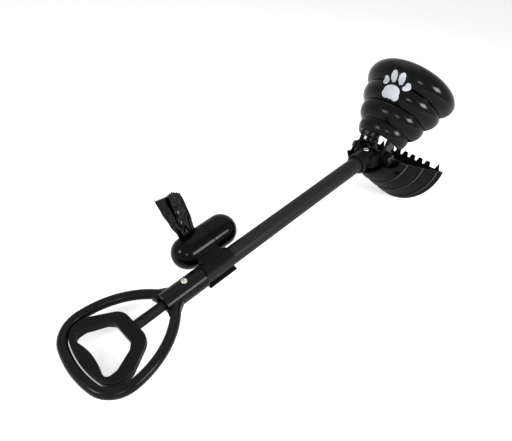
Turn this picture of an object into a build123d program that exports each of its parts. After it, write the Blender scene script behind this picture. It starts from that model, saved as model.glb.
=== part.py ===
from build123d import *
from math import atan2, cos, degrees, hypot, radians, sin, sqrt, tan
import os

# Pooper scooper: a tube with a pull trigger in a loop handle at one end, two jaws at the
# other, and a bag dispenser clipped on the tube. Millimetres and degrees.
# The tool frame has its origin on the tube's axis at the handle socket's mouth, with X along
# the tube towards the jaws, Y across it and Z out of the plane of the loops. At the end the
# tool is laid down on its outer loop and its lower jaw, the way it is put aside.

os.makedirs("parts", exist_ok=True)

# Clearances
fit_gap = 0.08
slide_gap = 0.15
side_gap = 0.4
seat_gap = 0.3
overrun = 3.0
half_turn = 180

# Tube
tube_diameter = 22.0
tube_wall = 1.2
tube_length = 346.0
tube_in_socket = 40.0
tube_bore = tube_diameter - 2 * tube_wall
tube_rear = -tube_in_socket
tube_front = tube_length - tube_in_socket

# Handle socket
socket_diameter = 25.5
socket_length = 54.0
socket_mouth_diameter = 18.8
socket_lip_round = 1.2
socket_screw_reach = 24.0

# Outer loop: the centre line of its bar is three tangent arcs on each side of the axis
loop_end = 160.5
loop_end_radius = 135.0
loop_end_turn = 13.2
loop_corner_radius = 31.0
loop_corner_turn = 78.8
loop_side_radius = 100.0
loop_side_turn = 50.0
loop_bar_width = 11.4
loop_bar_height = 11.6
loop_bar_sink = 8.0
web_thickness = 7.0
web_length = 17.0
web_spread = 8.5

# Trigger: the inner loop with its grip bar, shoulders and stem
grip_end = 153.6
grip_end_share = 0.854
grip_end_turn = 16.0
grip_corner_radius = 20.0
grip_corner_turn = 107.0
grip_side_length = 25.6
grip_shoulder_radius = 18.0
grip_height = 10.0
grip_edge_round = 2.0
grip_bar_middle = 13.7
grip_bar_side = 10.3
grip_bar_share = 0.703
grip_side_bar = 10.4
hole_length = 35.1
hole_corner_length = 12.0
hole_shoulder_share = 0.69
hole_shoulder_length = 6.0
hole_inner_share = 0.469
hole_round = 5.5
stem_diameter = 11.9
stem_sides = 8
stem_front = -24.0
stem_in_grip = 4.0

# Pull rod, the bushes that guide it and the clevis on its front end
rod_diameter = 6.0
rod_in_stem = 22.0
rod_pin_diameter = 2.5
rod_pin_setback = 12.0
bush_length = 10.0
bush_lead = 0.6
front_bush_setback = 44.0
clevis_length = 14.0
clevis_width = 9.0
clevis_round = 1.5
clevis_pin_diameter = 3.0
clevis_pin_head = 5.0
clevis_pin_head_height = 1.2

# Screws through the socket and the bracket
screw_diameter = 3.4
screw_head_diameter = 7.4
screw_head_height = 2.4
screw_head_round = 0.8
screw_seat_diameter = 9.4
screw_seat_depth = 1.0
screw_tip = 0.6
screw_drive_width = 3.2
screw_drive_depth = 1.3

# Head bracket: a sleeve on the tube with a collar, and a fork for the hinge bolt
bracket_grip = 29.0
bracket_diameter = 26.6
collar_diameter = 29.0
collar_width = 4.5
cheek_thickness = 4.0
cheek_half_gap = 14.0
cheek_height = 19.0
shoulder_length = 12.0
shoulder_chamfer = 4.5
hinge_ahead = 12.0
head_screw_setback = 6.0
hinge_reach = tube_front + hinge_ahead
bracket_rear = tube_front - bracket_grip

# Hinge bolt, its nut and its spacers
bolt_diameter = 6.0
bolt_head_diameter = 13.0
bolt_head_height = 2.6
bolt_head_round = 1.0
bolt_nut_width = 10.0
bolt_nut_height = 5.0
spacer_diameter = 10.0

# Drive from the trigger to the jaws: two pins on the draw plate push in the jaws' slots
jaw_swing = 32.0
pin_offset = 24.0
pin_diameter = 5.0
pin_head_diameter = 8.4
pin_head_height = 2.2
pin_nut_width = 8.0
pin_nut_height = 4.0
plate_thickness = 3.0
plate_height = 15.0
plate_round = 3.0
plate_margin = 4.6
plate_arm_width = 9.0
plate_arm_root = 6.0
travel = 2 * pin_offset * tan(radians(jaw_swing / 2))

# Sizes that the two jaws share
jaw_wall = 2.4
rim_gap = 0.5
ear_thickness = 4.0
boss_diameter = 17.0
boss_height = 1.4
jaw_back = 26.0
jaw_back_thickness = 2.6
lug_thickness = 3.4
lug_margin = 3.6
lug_gap = 1.1

# Upper jaw: stacked round rings about a line that leans out of the mouth plane
upper_reach = 122.0
upper_radius = 66.2
lip_inset = 1.0
upper_rear = 16.3
upper_ear_diameter = 24.0
upper_ear_height = 28.0
upper_lug_root = 20.0
stack_offset = 4.0
stack_lean = 4.0
ring_round = 19.0
ring_place_shares = (0.239, 0.412, 0.605, 0.806)
ring_radius_shares = (0.571, 0.734, 0.879, 1.0)

# Lower jaw: a half round scoop that widens and deepens to its toothed lip
lower_reach = 130.5
lower_rear = -14.0
lower_rear_half_width = 35.0
lower_rear_depth = 30.5
lower_front_half_width = upper_radius - lip_inset
lower_front_depth = 69.3
lower_front_round = 8.0
lower_ear_diameter = 18.0
lower_ear_height = 20.0
lower_lug_root = 20.0
hinge_notch_radius = 11.5
round_turns = (30.0, 60.0, 90.0)
rib_place_shares = (0.215, 0.520, 0.815)
rib_width = 1.6
rib_height = 0.8
tooth_pitch = 13.6
tooth_count = 6
tooth_base = 9.8
tooth_top = 5.8
tooth_height = 6.5
corner_tooth_base = 7.5
corner_tooth_height = 9.0
corner_tooth_inset = 1.5
drain_place = 18.7
drain_depth = 15.6
drain_length = 11.0
drain_width = 6.4
drain_turn = 10.0

# Bag dispenser: a capsule beside the tube on a C-shaped clip
capsule_diameter = 40.0
capsule_length = 90.0
capsule_wall = 1.8
capsule_rear = -13.0
capsule_side = 35.0
capsule_up = 8.0
body_length = 49.5
neck_length = 7.0
neck_wall = 1.5
neck_root = 3.0
slot_turn = 68.0
slot_rear = 3.0
slot_length = 27.0
slot_width = 6.4
clip_rear = 0.5
clip_length = 40.0
clip_thickness = 2.0
clip_upper_turn = 142.0
clip_lower_turn = 112.0
clip_lip_length = 5.4
clip_lip_flare = 42.0
pad_face = 14.6
pad_length = 30.0
pad_height = 11.0
roll_length = 58.0
core_diameter = 12.0
core_wall = 1.2
core_proud = 1.0
tail_reach = 75.0
tail_thickness = 2.4
tail_rear = 5.0
tail_width = 21.0
tail_rear_shares = ((0.0, 0.0), (-0.19, 0.36), (-0.34, 0.73), (-0.36, 0.99))
tail_front_shares = ((0.26, 0.93), (0.37, 1.0), (0.77, 0.95), (1.04, 0.85), (1.13, 0.4), (1.04, 0.09), (1.0, 0.0))


def hex_radius(width):
    """Corner radius of a hexagon that is this wide across its flats."""
    return width / 2 / cos(radians(30))


def wall_screw(place, seat_radius):
    """Pan head screw with a hexagon socket, down through a sleeve and the tube's wall."""
    seat = seat_radius - screw_seat_depth
    tip = tube_bore / 2 - screw_tip
    with BuildPart() as screw:
        with BuildSketch(Plane((place, 0, tip))):
            Circle(screw_diameter / 2)
        extrude(amount=seat - tip)
        with BuildSketch(Plane((place, 0, seat))):
            Circle(screw_head_diameter / 2)
        extrude(amount=screw_head_height)
        top = screw.faces().sort_by(Axis.Z)[-1]
        fillet(top.edges(), screw_head_round)
        with BuildSketch(Plane((place, 0, seat + screw_head_height))):
            RegularPolygon(hex_radius(screw_drive_width), 6)
        extrude(amount=-screw_drive_depth, mode=Mode.SUBTRACT)
    return screw.part


def screw_hole(place, seat_radius):
    """Cut a wall screw's flat seat and its hole into the sleeve that is being built."""
    with BuildSketch(Plane((place, 0, seat_radius - screw_seat_depth))) as seat:
        Circle(screw_seat_diameter / 2)
    extrude(seat.sketch, amount=overrun, mode=Mode.SUBTRACT)
    with BuildSketch(Plane((place, 0, 0))) as hole:
        Circle(screw_diameter / 2 + slide_gap)
    extrude(hole.sketch, amount=seat_radius, mode=Mode.SUBTRACT)


def guide_bush(rear, bore):
    """Plastic bush inside the tube, with a lead at both mouths of its bore."""
    with BuildPart() as bush:
        with BuildSketch(Plane.YZ.offset(rear)):
            Circle(tube_bore / 2 - fit_gap)
            Circle(bore / 2 + slide_gap, mode=Mode.SUBTRACT)
        extrude(amount=bush_length)
        mouths = bush.edges().filter_by(GeomType.CIRCLE).group_by(SortBy.RADIUS)[0]
        chamfer(mouths, bush_lead)
    return bush.part


def hex_nut(place_x, place_z, y, height, width, bore):
    """Hexagon nut on a bolt along Y, from y out to the near side."""
    with BuildPart() as nut:
        with BuildSketch(Plane.XZ.offset(-y)):
            with Locations((place_x, place_z)):
                RegularPolygon(hex_radius(width), 6)
                Circle(bore / 2 + fit_gap, mode=Mode.SUBTRACT)
        extrude(amount=height)
    return nut.part


# Tube with its two screw holes
socket_screw_x = -socket_screw_reach
head_screw_x = tube_front - head_screw_setback
with BuildPart() as tube:
    with BuildSketch(Plane.YZ.offset(tube_rear)):
        Circle(tube_diameter / 2)
        Circle(tube_bore / 2, mode=Mode.SUBTRACT)
    extrude(amount=tube_length)
    with BuildSketch(Plane.XY):
        with Locations((socket_screw_x, 0), (head_screw_x, 0)):
            Circle(screw_diameter / 2 + slide_gap)
    extrude(amount=tube_diameter, mode=Mode.SUBTRACT)
tube.part.label = "tube"

# Handle frame: the outer loop's bar, swept once and mirrored, on a socket for the tube
with BuildPart() as handle_frame:
    with BuildLine(Plane.XY) as loop_line:
        end_arc = JernArc((-loop_end, 0), (0, 1), loop_end_radius, -loop_end_turn)
        corner_arc = JernArc(end_arc @ 1, end_arc % 1, loop_corner_radius, -loop_corner_turn)
        side_arc = JernArc(corner_arc @ 1, corner_arc % 1, loop_side_radius, -loop_side_turn)
        arm_end = side_arc @ 1
        Line(arm_end, arm_end + loop_bar_sink * (side_arc % 1))
    with BuildSketch(Plane((-loop_end, 0, 0), x_dir=(1, 0, 0), z_dir=(0, 1, 0))):
        Ellipse(loop_bar_width / 2, loop_bar_height / 2)
    sweep(path=loop_line.wires()[0])
    with BuildSketch(Plane.XY):
        with BuildLine():
            Polyline(
                (-socket_length, 0),
                (arm_end.X - web_spread, arm_end.Y),
                (arm_end.X, arm_end.Y + loop_bar_width / 2),
                (-socket_length + web_length, socket_diameter / 2),
                (-socket_length + web_length, 0),
                close=True,
            )
        make_face()
    extrude(amount=web_thickness / 2, both=True)
    mirror(about=Plane.XZ)
    with BuildSketch(Plane.YZ):
        Circle(socket_diameter / 2)
    extrude(amount=-socket_length)
    with BuildSketch(Plane.YZ.offset(overrun)):
        Circle(tube_diameter / 2 + fit_gap)
    extrude(amount=-tube_in_socket - overrun, mode=Mode.SUBTRACT)
    with BuildSketch(Plane.YZ):
        Circle(socket_mouth_diameter / 2)
    extrude(amount=-socket_length - overrun, mode=Mode.SUBTRACT)
    mouth = handle_frame.faces().sort_by(Axis.X)[-1]
    fillet(mouth.edges().sort_by(SortBy.LENGTH)[-1], socket_lip_round)
    screw_hole(socket_screw_x, socket_diameter / 2)
handle_frame.part.label = "handle_frame"

# Trigger: an inner loop inside the outer one, with an eight sided stem into the socket
grip_end_radius = grip_end_share * loop_end_radius
grip_shoulder_turn = half_turn - grip_end_turn - grip_corner_turn
grip_bar_x = -grip_end + grip_bar_middle
hole_front_x = grip_bar_x + hole_length
hole_side_x = -grip_end + grip_bar_side
with BuildPart() as trigger_grip:
    with BuildSketch(Plane.XY.offset(-grip_height / 2)):
        with BuildLine():
            grip_arc = JernArc((-grip_end, 0), (0, 1), grip_end_radius, -grip_end_turn)
            corner_arc = JernArc(grip_arc @ 1, grip_arc % 1, grip_corner_radius, -grip_corner_turn)
            side = Line(corner_arc @ 1, corner_arc @ 1 + grip_side_length * (corner_arc % 1))
            shoulder = JernArc(side @ 1, side % 1, grip_shoulder_radius, -grip_shoulder_turn)
            grip_front = shoulder @ 1
            Polyline(grip_front, (grip_front.X, 0), (-grip_end, 0))
        make_face()
        mirror(about=Plane.XZ)
    extrude(amount=grip_height)
    fillet(trigger_grip.faces().filter_by(Axis.Z).edges(), grip_edge_round)
    hole_half_width = (corner_arc @ 1).Y - grip_side_bar
    grip_bar_reach = grip_bar_share * hole_half_width
    hole_shoulder_half_width = hole_shoulder_share * hole_half_width
    hole_inner_half_width = hole_inner_share * hole_half_width
    with BuildSketch(Plane.XY.offset(-grip_height)) as hole_face:
        with BuildLine():
            ThreePointArc(
                (hole_side_x, -grip_bar_reach), (grip_bar_x, 0), (hole_side_x, grip_bar_reach)
            )
            for side_sign in (1, -1):
                Polyline(
                    (hole_side_x, side_sign * grip_bar_reach),
                    (hole_side_x, side_sign * hole_half_width),
                    (hole_side_x + hole_corner_length, side_sign * hole_half_width),
                    (hole_front_x - hole_shoulder_length, side_sign * hole_shoulder_half_width),
                    (hole_front_x, side_sign * hole_inner_half_width),
                    (hole_front_x, 0),
                )
        make_face()
        corners = hole_face.vertices().filter_by(lambda v: abs(v.Y) > hole_inner_half_width / 2)
        fillet(corners, hole_round)
    extrude(amount=2 * grip_height, mode=Mode.SUBTRACT)
    flats = trigger_grip.faces().filter_by(Axis.Z)
    fillet([edge for flat in flats for edge in flat.inner_wires()[0].edges()], grip_edge_round)
    with BuildSketch(Plane.YZ.offset(grip_front.X - stem_in_grip)):
        RegularPolygon(stem_diameter / 2, stem_sides, rotation=half_turn / stem_sides)
    extrude(amount=stem_front - grip_front.X + stem_in_grip)
    with BuildSketch(Plane.YZ.offset(stem_front + overrun)):
        Circle(rod_diameter / 2 + fit_gap)
    extrude(amount=-rod_in_stem - overrun, mode=Mode.SUBTRACT)
    with BuildSketch(Plane.XZ):
        with Locations((stem_front - rod_pin_setback, 0)):
            Circle(rod_pin_diameter / 2 + fit_gap)
    extrude(amount=stem_diameter, both=True, mode=Mode.SUBTRACT)
trigger_grip.part.label = "trigger_grip"

# Screws, bushes and the pin that ties the rod into the stem
socket_screw = wall_screw(socket_screw_x, socket_diameter / 2)
socket_screw.label = "socket_screw"
head_screw = wall_screw(head_screw_x, bracket_diameter / 2)
head_screw.label = "head_screw"
rear_bush = guide_bush(tube_rear, stem_diameter)
rear_bush.label = "rear_bush"
front_bush = guide_bush(tube_front - front_bush_setback, rod_diameter)
front_bush.label = "front_bush"

with BuildPart() as rod_pin:
    with BuildSketch(Plane.XZ):
        with Locations((stem_front - rod_pin_setback, 0)):
            Circle(rod_pin_diameter / 2)
    extrude(amount=stem_diameter / 2 * cos(radians(half_turn / stem_sides)) - slide_gap, both=True)
rod_pin.part.label = "rod_pin"

# Pull rod with its clevis, which stays behind the hinge bolt's spacers over the whole travel
clevis_front = hinge_reach - travel - spacer_diameter / 2 - side_gap
clevis_rear = clevis_front - clevis_length
clevis_pin_x = clevis_rear + clevis_length / 2
with BuildPart() as pull_rod:
    with BuildSketch(Plane.YZ.offset(stem_front - rod_in_stem)):
        Circle(rod_diameter / 2)
    extrude(amount=clevis_rear - stem_front + rod_in_stem)
    with BuildSketch(Plane.YZ.offset(clevis_rear)):
        RectangleRounded(clevis_width, clevis_width, clevis_round)
    extrude(amount=clevis_length)
    with BuildSketch(Plane.YZ.offset(clevis_rear + plate_thickness)):
        Rectangle(plate_thickness + 2 * slide_gap, clevis_width + overrun)
    extrude(amount=clevis_length, mode=Mode.SUBTRACT)
    with BuildSketch(Plane.XZ):
        with Locations((clevis_pin_x, 0)):
            Circle(clevis_pin_diameter / 2 + fit_gap)
        with Locations((stem_front - rod_pin_setback, 0)):
            Circle(rod_pin_diameter / 2 + fit_gap)
    extrude(amount=clevis_width, both=True, mode=Mode.SUBTRACT)
pull_rod.part.label = "pull_rod"

with BuildPart() as clevis_pin:
    with BuildSketch(Plane.XZ.offset(-clevis_width / 2)):
        with Locations((clevis_pin_x, 0)):
            Circle(clevis_pin_diameter / 2)
    extrude(amount=clevis_width)
    with BuildSketch(Plane.XZ.offset(clevis_width / 2)):
        with Locations((clevis_pin_x, 0)):
            Circle(clevis_pin_head / 2)
    extrude(amount=clevis_pin_head_height)
clevis_pin.part.label = "clevis_pin"

# Draw plate: rides on the hinge bolt in its long slot, with one swept arm for each jaw
pin_x = hinge_reach - travel / 2
bolt_slot_width = bolt_diameter + 2 * slide_gap
plate_front = hinge_reach + bolt_slot_width / 2 + plate_margin
plate_rear = clevis_rear + plate_thickness + slide_gap
with BuildPart() as draw_plate:
    with BuildSketch(Plane.XZ):
        with Locations(((plate_front + plate_rear) / 2, 0)):
            RectangleRounded(plate_front - plate_rear, plate_height, plate_round)
    extrude(amount=plate_thickness / 2, both=True)
    for up in (1, -1):
        with BuildSketch(Plane.XZ):
            with Locations((pin_x, up * pin_offset), (hinge_reach + plate_round, up * plate_arm_root)):
                Circle(plate_arm_width / 2)
            make_hull()
        extrude(amount=plate_thickness / 2, both=True)
    with BuildSketch(Plane.XZ):
        with Locations((hinge_reach - travel / 2, 0)):
            SlotCenterToCenter(travel + 2 * slide_gap, bolt_slot_width)
        with Locations((pin_x, pin_offset), (pin_x, -pin_offset)):
            Circle(pin_diameter / 2 + fit_gap)
        with Locations((clevis_pin_x, 0)):
            Circle(clevis_pin_diameter / 2 + fit_gap)
    extrude(amount=plate_thickness, both=True, mode=Mode.SUBTRACT)
draw_plate.part.label = "draw_plate"

# Drive pins and their nuts, one pair for each jaw
lug_inner = plate_thickness / 2 + lug_gap
lug_outer = lug_inner + lug_thickness
pin_grip = lug_outer + side_gap
drive_pieces = []
for up, name in ((1, "upper"), (-1, "lower")):
    with BuildPart() as drive_pin:
        with BuildSketch(Plane.XZ.offset(pin_grip)):
            with Locations((pin_x, up * pin_offset)):
                Circle(pin_diameter / 2)
        extrude(amount=-2 * pin_grip - pin_nut_height)
        with BuildSketch(Plane.XZ.offset(pin_grip)):
            with Locations((pin_x, up * pin_offset)):
                Circle(pin_head_diameter / 2)
        extrude(amount=pin_head_height)
    drive_pin.part.label = name + "_drive_pin"
    nut_side = pin_grip + pin_nut_height
    nut = hex_nut(pin_x, up * pin_offset, nut_side, pin_nut_height, pin_nut_width, pin_diameter)
    nut.label = name + "_drive_nut"
    drive_pieces += [drive_pin.part, nut]

# Head bracket: sleeve, collar, and shoulders that carry the fork's two cheeks
cheek_outer = cheek_half_gap + cheek_thickness
with BuildPart() as head_bracket:
    with BuildSketch(Plane.XZ):
        with Locations((tube_front - shoulder_length / 2, 0)):
            Rectangle(shoulder_length, cheek_height)
        with Locations((hinge_reach, 0)):
            Circle(cheek_height / 2)
        make_hull()
    extrude(amount=cheek_outer, both=True)
    chamfer(head_bracket.edges().filter_by(Axis.Z).group_by(Axis.X)[0], shoulder_chamfer)
    with BuildSketch(Plane.XZ):
        with Locations((tube_front + hinge_reach / 2, 0)):
            Rectangle(hinge_reach, 2 * cheek_height)
    extrude(amount=cheek_half_gap, both=True, mode=Mode.SUBTRACT)
    with BuildSketch(Plane.YZ.offset(bracket_rear)):
        Circle(bracket_diameter / 2)
    extrude(amount=bracket_grip)
    with BuildSketch(Plane.YZ.offset(bracket_rear)):
        Circle(collar_diameter / 2)
    extrude(amount=collar_width)
    fillet(head_bracket.faces().sort_by(Axis.X)[0].edges(), socket_lip_round)
    with BuildSketch(Plane.YZ.offset(bracket_rear - overrun)):
        Circle(tube_diameter / 2 + fit_gap)
    extrude(amount=bracket_grip + 2 * overrun, mode=Mode.SUBTRACT)
    with BuildSketch(Plane.XZ):
        with Locations((hinge_reach, 0)):
            Circle(bolt_diameter / 2 + fit_gap)
    extrude(amount=cheek_outer + overrun, both=True, mode=Mode.SUBTRACT)
    screw_hole(head_screw_x, bracket_diameter / 2)
head_bracket.part.label = "head_bracket"

# Hinge bolt through the fork and both pairs of ears, with a nut and two spacers
upper_ear_inner = cheek_outer + side_gap
lower_ear_inner = upper_ear_inner + ear_thickness + side_gap
bolt_grip = lower_ear_inner + ear_thickness + boss_height + side_gap
with BuildPart() as hinge_bolt:
    with BuildSketch(Plane.XZ.offset(-bolt_grip - bolt_nut_height)):
        with Locations((hinge_reach, 0)):
            Circle(bolt_diameter / 2)
    extrude(amount=2 * bolt_grip + bolt_nut_height)
    with BuildSketch(Plane.XZ.offset(bolt_grip)):
        with Locations((hinge_reach, 0)):
            Circle(bolt_head_diameter / 2)
    extrude(amount=bolt_head_height)
    fillet(hinge_bolt.faces().sort_by(Axis.Y)[0].edges(), bolt_head_round)
hinge_bolt.part.label = "hinge_bolt"

nut_y = bolt_grip + bolt_nut_height
hinge_nut = hex_nut(hinge_reach, 0, nut_y, bolt_nut_height, bolt_nut_width, bolt_diameter)
hinge_nut.label = "hinge_nut"

spacers = []
for side_sign, name in ((1, "right_spacer"), (-1, "left_spacer")):
    with BuildPart() as spacer:
        with BuildSketch(Plane.XZ.offset(side_sign * cheek_half_gap)):
            with Locations((hinge_reach, 0)):
                Circle(spacer_diameter / 2)
                Circle(bolt_diameter / 2 + fit_gap, mode=Mode.SUBTRACT)
        extrude(amount=-side_sign * (cheek_half_gap - plate_thickness / 2 - side_gap))
    spacer.part.label = name
    spacers.append(spacer.part)


# Both jaws are drawn alike: the hinge at the origin, X along the mouth plane to the lip,
# and Z out of the jaw's back
# The drive pin stays on one radius of each jaw, halfway through the swing, and moves along
# it from its far end at both limits of the travel to its near end at the middle
slot_lean = radians(jaw_swing / 2)
slot_near = (pin_offset * sin(slot_lean), pin_offset * cos(slot_lean))
slot_far = (pin_offset * tan(slot_lean), pin_offset)


def add_lugs(roots):
    """Add the two lugs between the drive pin and two points of a jaw's back."""
    for side_sign in (1, -1):
        middle = side_sign * (lug_inner + lug_outer) / 2
        with BuildSketch(Plane.XZ.offset(middle)) as lug:
            with Locations(slot_near, slot_far):
                Circle(pin_diameter / 2 + lug_margin)
            with Locations(*roots):
                Circle(jaw_back_thickness / 2)
            make_hull()
        extrude(lug.sketch, amount=lug_thickness / 2, both=True)


def add_ears(inner, diameter, height, boss):
    """Add the two hinge ears, from the bolt to the middle of a jaw's back."""
    rise = diameter / 2 * cos(radians(jaw_swing))
    back = diameter / 2 * sin(radians(jaw_swing))
    for side_sign in (1, -1):
        with BuildSketch(Plane.XZ.offset(side_sign * inner)) as ear:
            with BuildLine():
                Polyline((0, rim_gap), (back_x, rim_gap), (back_x, height), (-back, rise), close=True)
            make_face()
            Circle(diameter / 2)
        extrude(ear.sketch, amount=side_sign * ear_thickness)
        if boss:
            with BuildSketch(Plane.XZ.offset(side_sign * (inner + ear_thickness))) as disc:
                Circle(boss_diameter / 2)
            extrude(disc.sketch, amount=side_sign * boss_height)


def cut_drive():
    """Cut the hinge bore and the short slot that the drive pin moves in."""
    slot_line = Line(slot_near, slot_far, mode=Mode.PRIVATE)
    with BuildSketch(Plane.XZ) as slot:
        SlotArc(slot_line, pin_diameter + 2 * slide_gap)
    extrude(slot.sketch, amount=lug_outer + overrun, both=True, mode=Mode.SUBTRACT)
    with BuildSketch(Plane.XZ) as bore:
        Circle(bolt_diameter / 2 + fit_gap)
    extrude(bore.sketch, amount=bolt_grip, both=True, mode=Mode.SUBTRACT)


# Upper jaw: the rings are revolved about the leaning stack line and cut at the mouth plane
lean = radians(stack_lean)
stack_plane = Plane((0, 0, stack_offset), x_dir=(cos(lean), 0, sin(lean)), z_dir=(0, -1, 0))
stack_axis = Axis((0, 0, stack_offset), (cos(lean), 0, sin(lean)))
rings = [
    (place * upper_reach, radius * upper_radius - ring_round)
    for place, radius in zip(ring_place_shares, ring_radius_shares)
]


def ring_radius(place, inset):
    """Radius of the first ring's section at a place on the stack line."""
    ring_x, ring_r = rings[0]
    return ring_r + sqrt((ring_round - inset) ** 2 - (place - ring_x) ** 2)


def crease(first, second):
    """Point where the round sections of two neighbouring rings meet."""
    (x1, r1), (x2, r2) = first, second
    apart = hypot(x2 - x1, r2 - r1)
    rise = sqrt(ring_round**2 - (apart / 2) ** 2)
    return (
        (x1 + x2) / 2 - rise * (r2 - r1) / apart,
        (r1 + r2) / 2 + rise * (x2 - x1) / apart,
    )


def ring_edge(ring, mark, inset):
    """Point of a ring's moved in section that is in line with a crease."""
    (x, r), (mark_x, mark_r) = ring, mark
    share = (ring_round - inset) / ring_round
    return (x + share * (mark_x - x), r + share * (mark_r - r))


def fold_middle(first, second, mark, inset):
    """Middle of the rounded fold inside a crease."""
    back_x = (first[0] + second[0]) / 2 - mark[0]
    back_r = (first[1] + second[1]) / 2 - mark[1]
    length = hypot(back_x, back_r)
    return (mark[0] + inset * back_x / length, mark[1] + inset * back_r / length)


def draw_rings(start, inset):
    """Draw the rings' section and the domed end, moved in by the inset, from a start point."""
    begin = start
    for first, second in zip(rings, rings[1:]):
        mark = crease(first, second)
        end = ring_edge(first, mark, inset)
        ThreePointArc(begin, (first[0], first[1] + ring_round - inset), end)
        begin = ring_edge(second, mark, inset)
        if inset:
            ThreePointArc(end, fold_middle(first, second, mark, inset), begin)
    last_x, last_r = rings[-1]
    nose = upper_reach - last_x
    dome = (last_r**2 + nose**2 - ring_round**2) / (nose - ring_round) / 2
    dome_x = upper_reach - dome
    turn = atan2(last_r, last_x - dome_x)
    reach = dome - inset
    shoulder = (dome_x + reach * cos(turn), reach * sin(turn))
    halfway = (dome_x + reach * cos(turn / 2), reach * sin(turn / 2))
    ThreePointArc(begin, (last_x, last_r + ring_round - inset), shoulder)
    ThreePointArc(shoulder, halfway, (dome_x + reach, 0))


def stack_point(place, radius):
    """Point of the leaning stack section in the jaw's own XZ plane."""
    return (
        place * cos(lean) - radius * sin(lean),
        stack_offset + place * sin(lean) + radius * cos(lean),
    )


back_front = jaw_back + jaw_back_thickness
rear_radius = ring_radius(upper_rear, 0)
front_radius = ring_radius(back_front, jaw_wall)
back_x = jaw_back + jaw_back_thickness / 2
with BuildPart() as upper_jaw:
    with BuildSketch(stack_plane):
        with BuildLine():
            draw_rings((upper_rear, rear_radius), 0)
            Polyline((upper_reach, 0), (upper_rear, 0), (upper_rear, rear_radius))
        make_face()
    revolve(axis=stack_axis)
    with BuildSketch(stack_plane):
        with BuildLine():
            draw_rings((back_front, front_radius), jaw_wall)
            Polyline((upper_reach - jaw_wall, 0), (back_front, 0), (back_front, front_radius))
        make_face()
    revolve(axis=stack_axis, mode=Mode.SUBTRACT)
    with BuildSketch(stack_plane):
        with BuildLine():
            Polyline(
                (upper_rear - overrun, 0),
                (upper_rear - overrun, rear_radius - jaw_wall),
                (jaw_back, rear_radius - jaw_wall),
                (jaw_back, 0),
                close=True,
            )
        make_face()
    revolve(axis=stack_axis, mode=Mode.SUBTRACT)
    split(bisect_by=Plane.XY.offset(rim_gap), keep=Keep.TOP)
    add_lugs([stack_point(back_x, upper_lug_root), stack_point(back_x, rear_radius - jaw_wall)])
    add_ears(upper_ear_inner, upper_ear_diameter, upper_ear_height, False)
    cut_drive()
upper_jaw.part.label = "upper_jaw"


# Lower jaw: ruled between half ellipses, with a rounded front edge and a flat toothed end
front_start = lower_reach - lower_front_round
width_slope = (lower_front_half_width - lower_rear_half_width) / (front_start - lower_rear)
depth_slope = (lower_front_depth - lower_rear_depth) / (front_start - lower_rear)


def lower_size(place, inset):
    """Half width and depth of the lower jaw's straight flanks at a place along it."""
    return (
        lower_rear_half_width + width_slope * (place - lower_rear) - inset,
        lower_rear_depth + depth_slope * (place - lower_rear) - inset,
    )


def half_ellipse(half_width, depth):
    """Face between the mouth plane and a half ellipse."""
    EllipticalCenterArc((0, 0), half_width, depth, start_angle=0, arc_size=half_turn)
    Line((-half_width, 0), (half_width, 0))


def scoop_places(rear, inset):
    """Places and sizes of the sections from the rear to the flat front."""
    edge_round = lower_front_round - inset
    half_width, depth = lower_size(front_start, inset)
    places = [(rear, *lower_size(rear, inset)), (front_start, half_width, depth)]
    for turn in round_turns:
        forward = edge_round * sin(radians(turn))
        drop = edge_round * (1 - cos(radians(turn)))
        places.append((front_start + forward, half_width - drop, depth - drop))
    return places


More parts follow.
